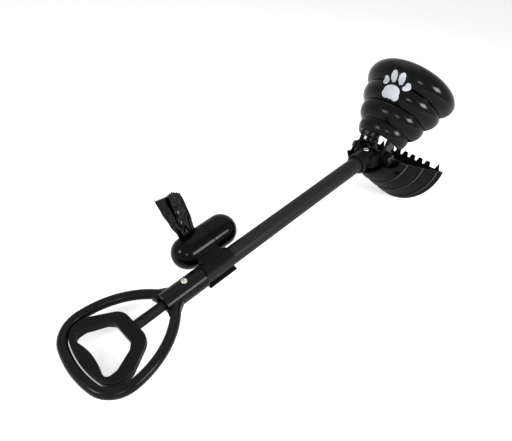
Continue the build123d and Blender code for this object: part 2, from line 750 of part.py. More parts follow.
front_half_width = lower_front_half_width - lower_front_round
with BuildPart() as lower_jaw:
    for place, half_width, depth in scoop_places(lower_rear, 0):
        with BuildSketch(Plane.YZ.offset(place)):
            with BuildLine():
                half_ellipse(half_width, depth)
            make_face()
    loft(ruled=True)
    for share in rib_place_shares:
        rib_rear = share * lower_reach - rib_width / 2
        with BuildSketch(Plane.YZ.offset(rib_rear)):
            with BuildLine():
                half_ellipse(*lower_size(rib_rear, -rib_height))
            make_face()
        extrude(amount=rib_width)
    for place, half_width, depth in scoop_places(lower_rear - overrun, jaw_wall):
        with BuildSketch(Plane.YZ.offset(place)):
            with BuildLine():
                half_ellipse(half_width, depth)
            make_face()
    loft(ruled=True, mode=Mode.SUBTRACT)
    with BuildSketch(Plane.YZ.offset(jaw_back)):
        with BuildLine():
            half_ellipse(*lower_size(jaw_back, jaw_wall / 2))
        make_face()
    extrude(amount=jaw_back_thickness)
    split(bisect_by=Plane.XY.offset(rim_gap), keep=Keep.TOP)
    with BuildSketch(Plane.XZ):
        Circle(hinge_notch_radius)
        with Locations((lower_rear, 0)):
            Rectangle(-2 * lower_rear, 2 * hinge_notch_radius)
    extrude(amount=lower_front_half_width, both=True, mode=Mode.SUBTRACT)
    with BuildSketch(Plane.YZ.offset(lower_reach - jaw_wall)):
        first_tooth = -(tooth_count - 1) * tooth_pitch / 2
        for tooth in range(tooth_count):
            middle = first_tooth + tooth * tooth_pitch
            with BuildLine():
                Polyline(
                    (middle - tooth_base / 2, rim_gap + jaw_wall),
                    (middle - tooth_base / 2, rim_gap),
                    (middle - tooth_top / 2, -tooth_height),
                    (middle + tooth_top / 2, -tooth_height),
                    (middle + tooth_base / 2, rim_gap),
                    (middle + tooth_base / 2, rim_gap + jaw_wall),
                    close=True,
                )
            make_face()
        for side_sign in (1, -1):
            corner = side_sign * (front_half_width - corner_tooth_inset)
            root = corner - side_sign * corner_tooth_base
            with BuildLine():
                Polyline(
                    (corner, rim_gap + jaw_wall),
                    (corner, rim_gap),
                    ((corner + root) / 2, -corner_tooth_height),
                    (root, rim_gap),
                    (root, rim_gap + jaw_wall),
                    close=True,
                )
            make_face()
    extrude(amount=jaw_wall)
    with BuildSketch(Plane.XZ):
        with Locations((drain_place, drain_depth)):
            SlotOverall(drain_length, drain_width, rotation=-drain_turn)
    extrude(amount=-lower_front_half_width, mode=Mode.SUBTRACT)
    add_lugs([(back_x, lower_lug_root), (back_x, lower_size(jaw_back, jaw_wall)[1])])
    add_ears(lower_ear_inner, lower_ear_diameter, lower_ear_height, True)
    cut_drive()
lower_jaw.part.label = "lower_jaw"

# Both jaws stand open at the hinge, with the trigger drawn back
open_angle = radians(jaw_swing)
upper_place = Plane(
    (hinge_reach, 0, 0),
    x_dir=(cos(open_angle), 0, sin(open_angle)),
    z_dir=(-sin(open_angle), 0, cos(open_angle)),
)
lower_place = Plane(
    (hinge_reach, 0, 0),
    x_dir=(cos(open_angle), 0, -sin(open_angle)),
    z_dir=(-sin(open_angle), 0, -cos(open_angle)),
)
upper_jaw.part.move(upper_place.location)
lower_jaw.part.move(lower_place.location)

# Bag dispenser. Its sections are revolved about the capsule's axis, beside the tube
capsule_radius = capsule_diameter / 2
capsule_front = capsule_rear + capsule_length
body_front = capsule_rear + body_length
rear_ball = capsule_rear + capsule_radius
front_ball = capsule_front - capsule_radius
capsule_plane = Plane((0, capsule_side, capsule_up), x_dir=(1, 0, 0), z_dir=(0, -1, 0))
capsule_axis = Axis((0, capsule_side, capsule_up), (1, 0, 0))
inner_radius = capsule_radius - capsule_wall
neck_radius = inner_radius - slide_gap
neck_bore = neck_radius - neck_wall
diagonal = sin(radians(45))
tail_turn = radians(slot_turn)
tail_plane = Plane(
    (0, capsule_side, capsule_up), x_dir=(1, 0, 0), z_dir=(0, cos(tail_turn), sin(tail_turn))
)
pad_x = clip_rear + clip_length / 2
with BuildPart() as dispenser_body:
    with BuildSketch(capsule_plane):
        with BuildLine():
            ThreePointArc(
                (capsule_rear, 0),
                (rear_ball - capsule_radius * diagonal, capsule_radius * diagonal),
                (rear_ball, capsule_radius),
            )
            Polyline(
                (rear_ball, capsule_radius),
                (body_front, capsule_radius),
                (body_front, neck_radius),
                (body_front + neck_length, neck_radius),
                (body_front + neck_length, 0),
                (capsule_rear, 0),
            )
        make_face()
    revolve(axis=capsule_axis)
    with BuildSketch(Plane.XZ.offset(-pad_face)):
        with Locations((pad_x, capsule_up)):
            Rectangle(pad_length, pad_height)
    extrude(amount=pad_face - capsule_side)
    with BuildSketch(capsule_plane):
        with BuildLine():
            ThreePointArc(
                (capsule_rear + capsule_wall, 0),
                (rear_ball - inner_radius * diagonal, inner_radius * diagonal),
                (rear_ball, inner_radius),
            )
            Polyline(
                (rear_ball, inner_radius),
                (body_front - neck_root, inner_radius),
                (body_front - neck_root, neck_bore),
                (body_front + neck_length + overrun, neck_bore),
                (body_front + neck_length + overrun, 0),
                (capsule_rear + capsule_wall, 0),
            )
        make_face()
    revolve(axis=capsule_axis, mode=Mode.SUBTRACT)
    with BuildSketch(tail_plane):
        with Locations((slot_rear + slot_length / 2, 0)):
            SlotOverall(slot_length, slot_width)
    extrude(amount=capsule_diameter, mode=Mode.SUBTRACT)
dispenser_body.part.label = "dispenser_body"

# The cap covers the body's neck
with BuildPart() as dispenser_cap:
    with BuildSketch(capsule_plane):
        with BuildLine():
            Polyline(
                (front_ball, inner_radius),
                (body_front + slide_gap, inner_radius),
                (body_front + slide_gap, capsule_radius),
                (front_ball, capsule_radius),
            )
            ThreePointArc(
                (front_ball, capsule_radius),
                (front_ball + capsule_radius * diagonal, capsule_radius * diagonal),
                (capsule_front, 0),
            )
            Line((capsule_front, 0), (capsule_front - capsule_wall, 0))
            ThreePointArc(
                (capsule_front - capsule_wall, 0),
                (front_ball + inner_radius * diagonal, inner_radius * diagonal),
                (front_ball, inner_radius),
            )
        make_face()
    revolve(axis=capsule_axis)
dispenser_cap.part.label = "dispenser_cap"

# Clip: wraps more than half of the tube, with a flared lip below and a flat pad outside
clip_inner = tube_diameter / 2 + slide_gap
clip_outer = clip_inner + clip_thickness
clip_middle = clip_inner + clip_thickness / 2
lip_turn = radians(-clip_lower_turn)
lip_angle = lip_turn - radians(90 - clip_lip_flare)
lip_root = (clip_middle * cos(lip_turn), clip_middle * sin(lip_turn))
lip_tip = (
    lip_root[0] + clip_lip_length * cos(lip_angle),
    lip_root[1] + clip_lip_length * sin(lip_angle),
)
clip_end = (clip_middle * cos(radians(clip_upper_turn)), clip_middle * sin(radians(clip_upper_turn)))
with BuildPart() as dispenser_clip:
    with BuildSketch(Plane.YZ.offset(clip_rear)):
        with BuildLine():
            outer = CenterArc((0, 0), clip_outer, -clip_lower_turn, clip_lower_turn + clip_upper_turn)
            inner = CenterArc((0, 0), clip_inner, -clip_lower_turn, clip_lower_turn + clip_upper_turn)
            Line(outer @ 0, inner @ 0)
            Line(outer @ 1, inner @ 1)
        make_face()
        with Locations(clip_end):
            Circle(clip_thickness / 2)
    extrude(amount=clip_length)
    with BuildSketch(Plane.YZ.offset(clip_rear)):
        with Locations(lip_root, lip_tip):
            Circle(clip_thickness / 2)
        make_hull()
    extrude(amount=clip_length)
    with BuildSketch(Plane.XZ.offset(-pad_face)):
        with Locations((pad_x, capsule_up)):
            Rectangle(pad_length, pad_height)
    extrude(amount=pad_face)
    with BuildSketch(Plane.YZ.offset(clip_rear - overrun)):
        Circle(clip_inner)
    extrude(amount=clip_length + 2 * overrun, mode=Mode.SUBTRACT)
dispenser_clip.part.label = "dispenser_clip"

# Roll of bags on its paper core, and the bag that hangs out of the slot
roll_radius = neck_bore - side_gap
roll_rear = (capsule_rear + capsule_front - roll_length) / 2
with BuildPart() as bag_roll:
    with BuildSketch(capsule_plane):
        with Locations((roll_rear + roll_length / 2, (roll_radius + core_diameter / 2 + fit_gap) / 2)):
            Rectangle(roll_length, roll_radius - core_diameter / 2 - fit_gap)
    revolve(axis=capsule_axis)
bag_roll.part.label = "bag_roll"

with BuildPart() as roll_core:
    with BuildSketch(capsule_plane):
        with Locations((roll_rear + roll_length / 2, (core_diameter - core_wall) / 2)):
            Rectangle(roll_length + 2 * core_proud, core_wall)
    revolve(axis=capsule_axis)
roll_core.part.label = "roll_core"

tail_root = roll_radius + seat_gap
tail_line = Plane(
    (0, capsule_side, capsule_up), x_dir=(1, 0, 0), z_dir=(0, -sin(tail_turn), cos(tail_turn))
)
tail_points = [
    (tail_rear + along * tail_width, tail_root + up * (tail_reach - tail_root))
    for along, up in tail_rear_shares + tail_front_shares
]
with BuildPart() as bag_tail:
    with BuildSketch(tail_line):
        with BuildLine():
            Polyline(*tail_points, close=True)
        make_face()
    extrude(amount=tail_thickness / 2, both=True)
bag_tail.part.label = "bag_tail"


# Resting pose: pitched nose up so that the loop's end and the lower jaw's belly are level
def loop_drop(pitch):
    """How far the loop's end reaches below the tool's origin."""
    bar = hypot(loop_bar_width / 2 * sin(pitch), loop_bar_height / 2 * cos(pitch))
    return loop_end * sin(pitch) + bar


def jaw_drop(pitch):
    """How far the lower jaw's belly reaches below the tool's origin."""
    lean_down = open_angle - pitch
    belly = lower_front_depth - lower_front_round
    jaw = front_start * sin(lean_down) + belly * cos(lean_down) + lower_front_round
    return jaw - hinge_reach * sin(pitch)


low_pitch, high_pitch = 0.0, open_angle
while high_pitch - low_pitch > radians(overrun) / tube_length / 100:
    pitch = (low_pitch + high_pitch) / 2
    if jaw_drop(pitch) > loop_drop(pitch):
        low_pitch = pitch
    else:
        high_pitch = pitch

builders = [
    handle_frame, tube, head_bracket, hinge_bolt, trigger_grip, rod_pin, pull_rod, clevis_pin,
    draw_plate, upper_jaw, lower_jaw, dispenser_clip, dispenser_body, dispenser_cap, bag_tail,
    bag_roll, roll_core,
]
pieces = [builder.part for builder in builders]
pieces += [socket_screw, head_screw, rear_bush, front_bush, hinge_nut] + spacers + drive_pieces
for piece in pieces:
    piece.move(Rotation(0, -degrees(pitch), 0))
box = Compound(pieces).bounding_box()
shift = Vector(-(box.min.X + box.max.X) / 2, -(box.min.Y + box.max.Y) / 2, -box.min.Z)
print("pitch", degrees(pitch), "shift", shift.X, shift.Y, shift.Z, "size", box.size)
for piece in pieces:
    piece.move(Location(shift))
    export_step(piece, "parts/" + piece.label + ".step")
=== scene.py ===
"""Finishes, bag tail and studio for a long handled pet scooper, laid on its side."""

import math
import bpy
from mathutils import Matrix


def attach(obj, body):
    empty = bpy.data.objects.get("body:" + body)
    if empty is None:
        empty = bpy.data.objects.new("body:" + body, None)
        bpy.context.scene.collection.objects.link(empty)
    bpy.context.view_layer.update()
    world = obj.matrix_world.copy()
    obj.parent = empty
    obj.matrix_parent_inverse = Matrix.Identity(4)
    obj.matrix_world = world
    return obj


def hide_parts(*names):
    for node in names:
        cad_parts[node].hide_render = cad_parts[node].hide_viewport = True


bl_info = {
    "name": "Pet Scooper Finishes",
    "version": (1, 0, 0),
    "blender": (4, 5, 0),
    "location": "3D View > Sidebar > Scooper",
    "description": "Gives a packed pet scooper its plastics, metals, film bag and studio",
    "category": "Object",
}

import bmesh
import bpy
from bpy.props import (
    FloatProperty,
    FloatVectorProperty,
    IntProperty,
    PointerProperty,
)
from mathutils import Matrix, Vector, noise

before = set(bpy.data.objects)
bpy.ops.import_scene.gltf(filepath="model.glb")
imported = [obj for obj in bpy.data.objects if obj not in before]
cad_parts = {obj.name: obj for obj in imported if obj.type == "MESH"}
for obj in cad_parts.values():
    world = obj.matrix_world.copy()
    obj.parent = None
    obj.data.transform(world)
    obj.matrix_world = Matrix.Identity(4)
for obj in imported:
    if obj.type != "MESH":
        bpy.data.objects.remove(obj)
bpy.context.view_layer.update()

MM_PER_METRE = 1000

# The tool lies nose up by this much, and its own frame starts at the handle socket's mouth
TILT = math.radians(12.2261)
TOOL_ORIGIN = Vector((-0.137037, 0.0, 0.039785))
TOOL_TO_ROW = Matrix.Translation(TOOL_ORIGIN) @ Matrix.Rotation(-TILT, 4, "Y")

# The capsule's axis in the tool frame, and the way its slot looks
CAPSULE_AXIS = Vector((0.0, 0.035, 0.008))
SLOT_TURN = math.radians(68.0)
SLOT_UP = Vector((0.0, math.cos(SLOT_TURN), math.sin(SLOT_TURN)))
SLOT_OUT = Vector((0.0, -math.sin(SLOT_TURN), math.cos(SLOT_TURN)))

# Tabs that a torn perforation leaves on the bag's edge
TAB_PITCH = 0.0026
TAB_HEIGHT = 0.0009
TAB_WIDTH_SHARE = 0.62


# Properties


class ScooperFinishes(bpy.types.PropertyGroup):
    moulding_colour: FloatVectorProperty(
        name="Handle plastic", description="Colour of the loops, the socket and the bracket",
        subtype="COLOR", size=4, min=0, max=1, default=(0.0048, 0.0048, 0.0054, 1),
    )
    tube_colour: FloatVectorProperty(
        name="Tube coating", description="Colour of the powder coat on the tube",
        subtype="COLOR", size=4, min=0, max=1, default=(0.0112, 0.0112, 0.0122, 1),
    )
    gloss_colour: FloatVectorProperty(
        name="Gloss plastic", description="Colour of the upper jaw and the bag capsule",
        subtype="COLOR", size=4, min=0, max=1, default=(0.0012, 0.0012, 0.0014, 1),
    )
    scoop_colour: FloatVectorProperty(
        name="Scoop plastic", description="Colour of the ribbed lower jaw",
        subtype="COLOR", size=4, min=0, max=1, default=(0.0042, 0.0042, 0.0047, 1),
    )
    # Painted highlight: a pale colour laid along the lower jaw's rib crests, standing in for the
    # light their raised edges catch
    rib_highlight_colour: FloatVectorProperty(
        name="Rib highlights", description="Colour of the painted highlights along the scoop's ribs",
        subtype="COLOR", size=4, min=0, max=1, default=(0.17, 0.17, 0.18, 1),
    )
    film_colour: FloatVectorProperty(
        name="Bag film", description="Colour of the bags",
        subtype="COLOR", size=4, min=0, max=1, default=(0.0016, 0.0016, 0.0019, 1),
    )
    print_colour: FloatVectorProperty(
        name="Print", description="Colour of the print on the upper jaw",
        subtype="COLOR", size=4, min=0, max=1, default=(0.50, 0.52, 0.56, 1),
    )
    grain_size: FloatProperty(
        name="Grain", description="Width of the spark texture's grains on satin plastic",
        subtype="DISTANCE", unit="LENGTH", min=0.0001, max=0.003, default=0.0006,
    )


class ScooperBag(bpy.types.PropertyGroup):
    film_thickness: FloatProperty(
        name="Film", description="Thickness of the flattened bag",
        subtype="DISTANCE", unit="LENGTH", min=0.00005, max=0.001, default=0.00022,
    )
    tail_length: FloatProperty(
        name="Tail", description="Length of bag drawn out of the capsule's slot",
        subtype="DISTANCE", unit="LENGTH", min=0.02, max=0.08, default=0.056,
    )
    crumple: FloatProperty(
        name="Crumple", description="Height of the film's creases",
        subtype="DISTANCE", unit="LENGTH", min=0.0, max=0.004, default=0.0018,
    )
    tab_pitch: FloatProperty(
        name="Perforation", description="Pitch of the tabs that a torn perforation leaves",
        subtype="DISTANCE", unit="LENGTH", min=0.001, max=0.01, default=TAB_PITCH,
    )
    tab_height: FloatProperty(
        name="Tabs", description="Height of the tabs that a torn perforation leaves",
        subtype="DISTANCE", unit="LENGTH", min=0.0001, max=0.003, default=TAB_HEIGHT,
    )
    seed: IntProperty(
        name="Seed", description="Picks another set of creases", min=0, max=1000, default=7,
    )


class ScooperStudio(bpy.types.PropertyGroup):
    key_power: FloatProperty(
        name="Front light", description="Power of the soft box in front of the tool",
        subtype="POWER", unit="POWER", min=0, max=200, default=17,
    )
    side_power: FloatProperty(
        name="Handle light", description="Power of the soft box on the handle's side",
        subtype="POWER", unit="POWER", min=0, max=200, default=7.5,
    )
    corner_power: FloatProperty(
        name="Corner light", description="Power of the dim soft box between the other two",
        subtype="POWER", unit="POWER", min=0, max=200, default=3.6,
    )
    top_power: FloatProperty(
        name="Top light", description="Power of the large soft box above",
        subtype="POWER", unit="POWER", min=0, max=200, default=4,
    )
    lens: FloatProperty(
        name="Lens", description="Focal length of the camera",
        subtype="DISTANCE_CAMERA", unit="CAMERA", min=10, max=200, default=32.517,
    )


# Node helpers


def put(tree, kind, inputs=(), **settings):
    """Adds a node, sets or links its inputs by name or place, and returns it."""
    node = tree.nodes.new(kind)
    for name, value in settings.items():
        setattr(node, name, value)
    for name, value in dict(inputs).items():
        if isinstance(value, bpy.types.NodeSocket):
            tree.links.new(value, node.inputs[name])
        else:
            node.inputs[name].default_value = value
    return node


def maths(tree, operation, first, second=0.0, clamp=False):
    """Output of one maths node."""
    node = put(tree, "ShaderNodeMath", {0: first, 1: second}, operation=operation, use_clamp=clamp)
    return node.outputs[0]


def dot(tree, first, second):
    """Dot product of two vectors."""
    inputs = {0: first, 1: second}
    return put(tree, "ShaderNodeVectorMath", inputs, operation="DOT_PRODUCT").outputs["Value"]


def component(tree, vector, letter):
    """X, Y or Z of a vector."""
    return put(tree, "ShaderNodeSeparateXYZ", {"Vector": vector}).outputs[letter]


def ramp(tree, value, low, high, to_low=0.0, to_high=1.0):
    """Takes a value from one range to another, smoothly, and holds it at the ends."""
    return put(
        tree, "ShaderNodeMapRange",
        {"Value": value, "From Min": low, "From Max": high, "To Min": to_low, "To Max": to_high},
        interpolation_type="SMOOTHSTEP",
    ).outputs["Result"]


def stripe(tree, place, middle, half_widths, strength=1.0):
    """A soft-edged stripe: full within the first half width of its middle, gone past the second."""
    away = maths(tree, "ABSOLUTE", maths(tree, "SUBTRACT", place, middle))
    return ramp(tree, away, *half_widths, strength, 0.0)


def strongest(tree, masks):
    """The highest of several masks."""
    whole = masks[0]
    for mask in masks[1:]:
        whole = maths(tree, "MAXIMUM", whole, mask)
    return whole


def mix(tree, share, first, second, kind="RGBA"):
    """Mixes two colours, or two values with the kind FLOAT."""
    inputs = {"Factor": share, "A": first, "B": second}
    return put(tree, "ShaderNodeMix", inputs, data_type=kind).outputs["Result"]


def grain_noise(tree, coords, size, detail=2.0, stretch=(1, 1, 1)):
    """Noise whose marks are about this large, in metres, and longer where stretch is small."""
    spread = put(tree, "ShaderNodeMapping", {"Vector": coords, "Scale": stretch}).outputs["Vector"]
    return put(
        tree, "ShaderNodeTexNoise", {"Vector": spread, "Scale": 1 / size, "Detail": detail},
    ).outputs["Fac"]


def seen_from(tree, coords, origin, turn, scale=(1, 1, 1)):
    """Coordinates as a frame with this origin, turn and scale sees them."""
    return put(
        tree, "ShaderNodeMapping",
        {"Vector": coords, "Location": origin, "Rotation": turn, "Scale": scale},
        vector_type="TEXTURE",
    ).outputs["Vector"]


def tool_coords(tree):
    """Coordinates in the tool's own frame, so that marks follow the tube."""
    here = put(tree, "ShaderNodeTexCoord").outputs["Object"]
    return seen_from(tree, here, TOOL_ORIGIN, (0, -TILT, 0))


# Finishes, with sizes and depths of their marks in metres. Their noise stays mostly inside
# this span, and a line's half widths are where it starts to fade and where it ends
NOISE_SPAN = (0.3, 0.7)
PARTING_HALF_WIDTHS = (0.00012, 0.00035)
FILM_FOLD_SIZE = 0.014
UNDYED_PLASTIC = (0.72, 0.70, 0.64, 1)
BROWN_CARD = (0.42, 0.33, 0.22, 1)


def start_finish(name, colour, metallic=0.0, specular=0.5):
    """A material with its own constant values, its tree and its shader."""
    material = bpy.data.materials.new(name)
    material.use_nodes = True
    tree = material.node_tree
    shader = tree.nodes["Principled BSDF"]
    shader.inputs["Base Color"].default_value = colour
    shader.inputs["Metallic"].default_value = metallic
    shader.inputs["Specular IOR Level"].default_value = specular
    return material, tree, shader


def feed(tree, shader, name, value):
    """Links a value to one of the shader's inputs."""
    tree.links.new(value, shader.inputs[name])


def source(shader, name):
    """What one of the shader's inputs is fed with."""
    return shader.inputs[name].links[0].from_socket


def two_tone(tree, shader, colour, share, dark=0.75, light=1.3):
    """Lets the colour drift between a darker and a lighter tone."""
    darker, lighter = (tuple(c * tone for c in colour[:3]) + (1,) for tone in (dark, light))
    feed(tree, shader, "Base Color", mix(tree, share, darker, lighter))


def raise_marks(tree, shader, height, depth, under=None):
    """Bumps the surface by a height map of this depth, over the bump under it."""
    inputs = {"Height": height, "Distance": depth, "Strength": 1.0}
    if under is not None:
        inputs["Normal"] = under
    bump = put(tree, "ShaderNodeBump", inputs).outputs["Normal"]
    feed(tree, shader, "Normal", bump)
    return bump


def moulded_satin(name, colour, grain, roughness, specular, parting=False):
    """Moulded plastic with a spark texture, faint flow marks, rub marks and a parting line."""
    material, tree, shader = start_finish(name, colour, specular=specular)
    coords = tool_coords(tree)
    drift = grain_noise(tree, coords, size=0.03, detail=3)
    two_tone(tree, shader, colour, drift)
    rub = grain_noise(tree, coords, size=0.004, detail=4, stretch=(0.12, 1, 1))
    worn = ramp(tree, rub, 0.60, 0.74, to_high=0.12)
    even = ramp(tree, drift, *NOISE_SPAN, roughness - 0.05, roughness + 0.05)
    feed(tree, shader, "Roughness", maths(tree, "SUBTRACT", even, worn, clamp=True))
    bump = raise_marks(tree, shader, grain_noise(tree, coords, size=grain), depth=0.00003)
    if parting:
        line = stripe(tree, component(tree, coords, "Z"), 0.0, PARTING_HALF_WIDTHS)
        raise_marks(tree, shader, line, depth=0.00012, under=bump)
    return material


def polished_plastic(name, colour, roughness, specular):
    """Polished plastic with soft sink marks, fine hairlines and a little dust."""
    material, tree, shader = start_finish(name, colour, specular=specular)
    coords = tool_coords(tree)
    drift = grain_noise(tree, coords, size=0.05)
    two_tone(tree, shader, colour, drift)
    hair = grain_noise(tree, coords, size=0.0016, detail=3, stretch=(0.05, 1, 1))
    hazed = ramp(tree, hair, 0.62, 0.75, to_high=0.10)
    specks = grain_noise(tree, coords, size=0.0011, detail=1)
    dust = ramp(tree, specks, 0.74, 0.80, to_high=0.25)
    even = ramp(tree, drift, 0.35, 0.65, roughness * 0.8, roughness * 1.3)
    rough = maths(tree, "ADD", maths(tree, "ADD", even, hazed), dust, clamp=True)
    feed(tree, shader, "Roughness", rough)
    raise_marks(tree, shader, grain_noise(tree, coords, size=0.012, detail=1), depth=0.00006)
    return material, tree, shader


def powder_coat(name, colour):
    """Satin powder coat with its orange peel and rub marks along the tube."""
    material, tree, shader = start_finish(name, colour, specular=0.075)
    coords = tool_coords(tree)
    drift = grain_noise(tree, coords, size=0.02, detail=3, stretch=(0.3, 1, 1))
    two_tone(tree, shader, colour, drift, dark=0.85, light=1.2)
    rub = grain_noise(tree, coords, size=0.0022, detail=4, stretch=(0.02, 1, 1))
    worn = ramp(tree, rub, 0.58, 0.75, to_high=0.14)
    even = ramp(tree, drift, *NOISE_SPAN, 0.33, 0.41)
    feed(tree, shader, "Roughness", maths(tree, "SUBTRACT", even, worn, clamp=True))
    peel = raise_marks(tree, shader, grain_noise(tree, coords, size=0.0012), depth=0.000035)
    grit = grain_noise(tree, coords, size=0.00025, detail=1)
    raise_marks(tree, shader, grit, depth=0.000008, under=peel)
    return material


def plated_steel(name, colour, roughness, stretch=(1, 1, 1)):
    """Plated steel with fine tool marks and a few darker stains."""
    material, tree, shader = start_finish(name, colour, metallic=1.0)
    coords = tool_coords(tree)
    stain = grain_noise(tree, coords, size=0.004, detail=4)
    two_tone(tree, shader, colour, stain, dark=0.7, light=1.15)
    marks = grain_noise(tree, coords, size=0.0004, stretch=stretch)
    feed(tree, shader, "Roughness", ramp(tree, marks, 0.2, 0.8, roughness * 0.6, roughness * 1.4))
    raise_marks(tree, shader, marks, depth=0.00002)
    return material


def bag_film(name, colour):
    """Thin film: fine creases over larger folds and a slightly cloudy gloss."""
    material, tree, shader = start_finish(name, colour, specular=0.18)
    coords = tool_coords(tree)
    cloud = grain_noise(tree, coords, size=0.01, detail=3)
    two_tone(tree, shader, colour, cloud, dark=0.7, light=1.5)
    feed(tree, shader, "Roughness", ramp(tree, cloud, *NOISE_SPAN, 0.09, 0.18))
    folds = put(
        tree, "ShaderNodeTexNoise",
        {
            "Vector": coords, "Scale": 1 / FILM_FOLD_SIZE, "Detail": 3.0, "Roughness": 0.5,
            "Distortion": 0.6,
        },
        noise_type="RIDGED_MULTIFRACTAL",
    ).outputs["Fac"]
    bump = raise_marks(tree, shader, folds, depth=0.0008)
    creases = grain_noise(tree, coords, size=0.0011, detail=3)
    raise_marks(tree, shader, creases, depth=0.00005, under=bump)
    return material


def raw_plastic(name, colour, roughness):
    """Undyed plastic of the bushes inside the tube."""
    material, tree, shader = start_finish(name, colour)
    shader.inputs["Subsurface Weight"].default_value = 0.15
    shader.inputs["Subsurface Radius"].default_value = (0.002, 0.002, 0.0015)
    coords = tool_coords(tree)
    cloud = grain_noise(tree, coords, size=0.008, detail=3)
    two_tone(tree, shader, colour, cloud, dark=0.93, light=1.04)
    even = ramp(tree, cloud, *NOISE_SPAN, roughness - 0.08, roughness + 0.08)
    feed(tree, shader, "Roughness", even)
    raise_marks(tree, shader, grain_noise(tree, coords, size=0.0008), depth=0.00002)
    return material


def wound_card(name, colour):
    """Wound card with fibres round it."""
    material, tree, shader = start_finish(name, colour, specular=0.25)
    coords = tool_coords(tree)
    fibres = grain_noise(tree, coords, size=0.0008, detail=4, stretch=(1, 0.2, 0.2))
    two_tone(tree, shader, colour, fibres, dark=0.72, light=1.25)
    feed(tree, shader, "Roughness", ramp(tree, fibres, *NOISE_SPAN, 0.75, 0.92))
    raise_marks(tree, shader, fibres, depth=0.00006)
    return material


def dress(material, *nodes):
    """Gives CAD nodes a material through their slots."""
    for name in nodes:
        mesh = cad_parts[name].data
        mesh.materials.clear()
        mesh.materials.append(material)


# Satin mouldings, as finish, roughness, specular level, whether it has a parting line and nodes
SATIN_MOULDINGS = (
    ("handle_satin", 0.24, 0.085, True, ("handle_frame",)),
    ("trigger_satin", 0.32, 0.06, False, ("trigger_grip",)),
    ("bracket_satin", 0.34, 0.055, False, ("head_bracket",)),
    ("clip_satin", 0.38, 0.035, False, ("dispenser_clip",)),
    ("spacer_satin", 0.40, 0.07, False, ("left_spacer", "right_spacer")),
)


class SCOOPER_OT_mouldings(bpy.types.Operator):
    """Satin plastic on the handle, the trigger, the head bracket, its spacers and the clip"""

    bl_idname = "scooper.mouldings"
    bl_label = "Handle Mouldings"

    def execute(self, context):
        look = context.scene.scooper_finishes
        colour, grain = look.moulding_colour[:], look.grain_size
        for name, roughness, specular, parting, nodes in SATIN_MOULDINGS:
            dress(moulded_satin(name, colour, grain, roughness, specular, parting), *nodes)
        return {"FINISHED"}


class SCOOPER_OT_tube(bpy.types.Operator):
    """Powder coat on the tube, and undyed plastic on the bushes in it"""

    bl_idname = "scooper.tube"
    bl_label = "Tube and Bushes"

    def execute(self, context):
        dress(powder_coat("tube_coat", context.scene.scooper_finishes.tube_colour[:]), "tube")
        bushes = raw_plastic("bush_plastic", UNDYED_PLASTIC, roughness=0.42)
        dress(bushes, "rear_bush", "front_bush")
        return {"FINISHED"}


# Upper jaw's print: a paw over the two outer rings. Its ovals lie on a plane across the stack,
# each as place, half size and turn, in millimetres and degrees. They reach through the plane by
# a depth in metres, show where the surface faces out of it, and fade at their edges
PRINT_ORIGIN = Vector((0.1790, -0.0040, 0.2060))
PRINT_ALONG = Vector((0.6665, 0, 0.7455))
PRINT_OUT = Vector((-0.7455, 0, 0.6665))
PRINT_TURN = Matrix((PRINT_ALONG.cross(PRINT_OUT), PRINT_ALONG, PRINT_OUT)).transposed().to_euler()
PRINT_DEPTH = 1000
PRINT_EDGE = (0.97, 1.03)
PRINT_FACING = (0.02, 0.06)
PRINT_ROUGHNESS = 0.30
PAW_OVALS = (
    ((0.0, -9.0), (11.5, 8.5), 0.0),
    ((-6.5, -13.0), (6.0, 5.0), 0.0),
    ((6.5, -13.0), (6.0, 5.0), 0.0),
    ((-15.5, 3.0), (4.2, 6.0), 28.0),
    ((-5.8, 10.0), (4.5, 6.8), 8.0),
    ((5.8, 10.0), (4.5, 6.8), -8.0),
    ((15.5, 3.0), (4.2, 6.0), -28.0),
)


def paw_mask(tree):
    """1 inside the paw on the jaw's outer face, and 0 elsewhere."""
    here = put(tree, "ShaderNodeTexCoord").outputs
    flat = seen_from(tree, here["Object"], PRINT_ORIGIN, PRINT_TURN)
    ovals = []
    for place, half_size, turn in PAW_OVALS:
        across, along_jaw = (value / MM_PER_METRE for value in place)
        half_across, half_along = (value / MM_PER_METRE for value in half_size)
        oval = seen_from(
            tree, flat, (across, along_jaw, 0), (0, 0, math.radians(turn)),
            (half_across, half_along, PRINT_DEPTH),
        )
        reach = put(tree, "ShaderNodeVectorMath", {0: oval}, operation="LENGTH").outputs["Value"]
        ovals.append(ramp(tree, reach, *PRINT_EDGE, 1.0, 0.0))
    outward = PRINT_TURN.to_matrix() @ Vector((0, 0, 1))
    facing = ramp(tree, dot(tree, here["Normal"], outward), *PRINT_FACING)
    return maths(tree, "MULTIPLY", strongest(tree, ovals), facing)


class SCOOPER_OT_upper_jaw(bpy.types.Operator):
    """Polished plastic with its pale print on the upper jaw"""

    bl_idname = "scooper.upper_jaw"
    bl_label = "Upper Jaw"

    def execute(self, context):
        look = context.scene.scooper_finishes
        material, tree, shader = polished_plastic(
            "upper_jaw_gloss", look.gloss_colour[:], roughness=0.17, specular=0.12,
        )
        mask = paw_mask(tree)
        ink = mix(tree, mask, source(shader, "Base Color"), look.print_colour[:])
        feed(tree, shader, "Base Color", ink)
        matt = mix(tree, mask, source(shader, "Roughness"), PRINT_ROUGHNESS, "FLOAT")
        feed(tree, shader, "Roughness", matt)
        raise_marks(tree, shader, mask, depth=0.00004, under=source(shader, "Normal"))
        dress(material, "upper_jaw")
        return {"FINISHED"}


# Lower jaw's ribs, as places from the hinge towards the teeth in the jaw's own frame, which is
# swung open from the tool's. A surface is their outside where it lies this far from the hinge
# along its normal
HINGE = Vector((0.173751, 0.0, 0.107128))
SCOOP_SWING = math.radians(32)
RIB_PLACES = (0.02806, 0.06786, 0.10636)
RIB_HALF_WIDTHS = (0.00054, 0.0009)
RIB_OUTWARD = (0.002, 0.010)
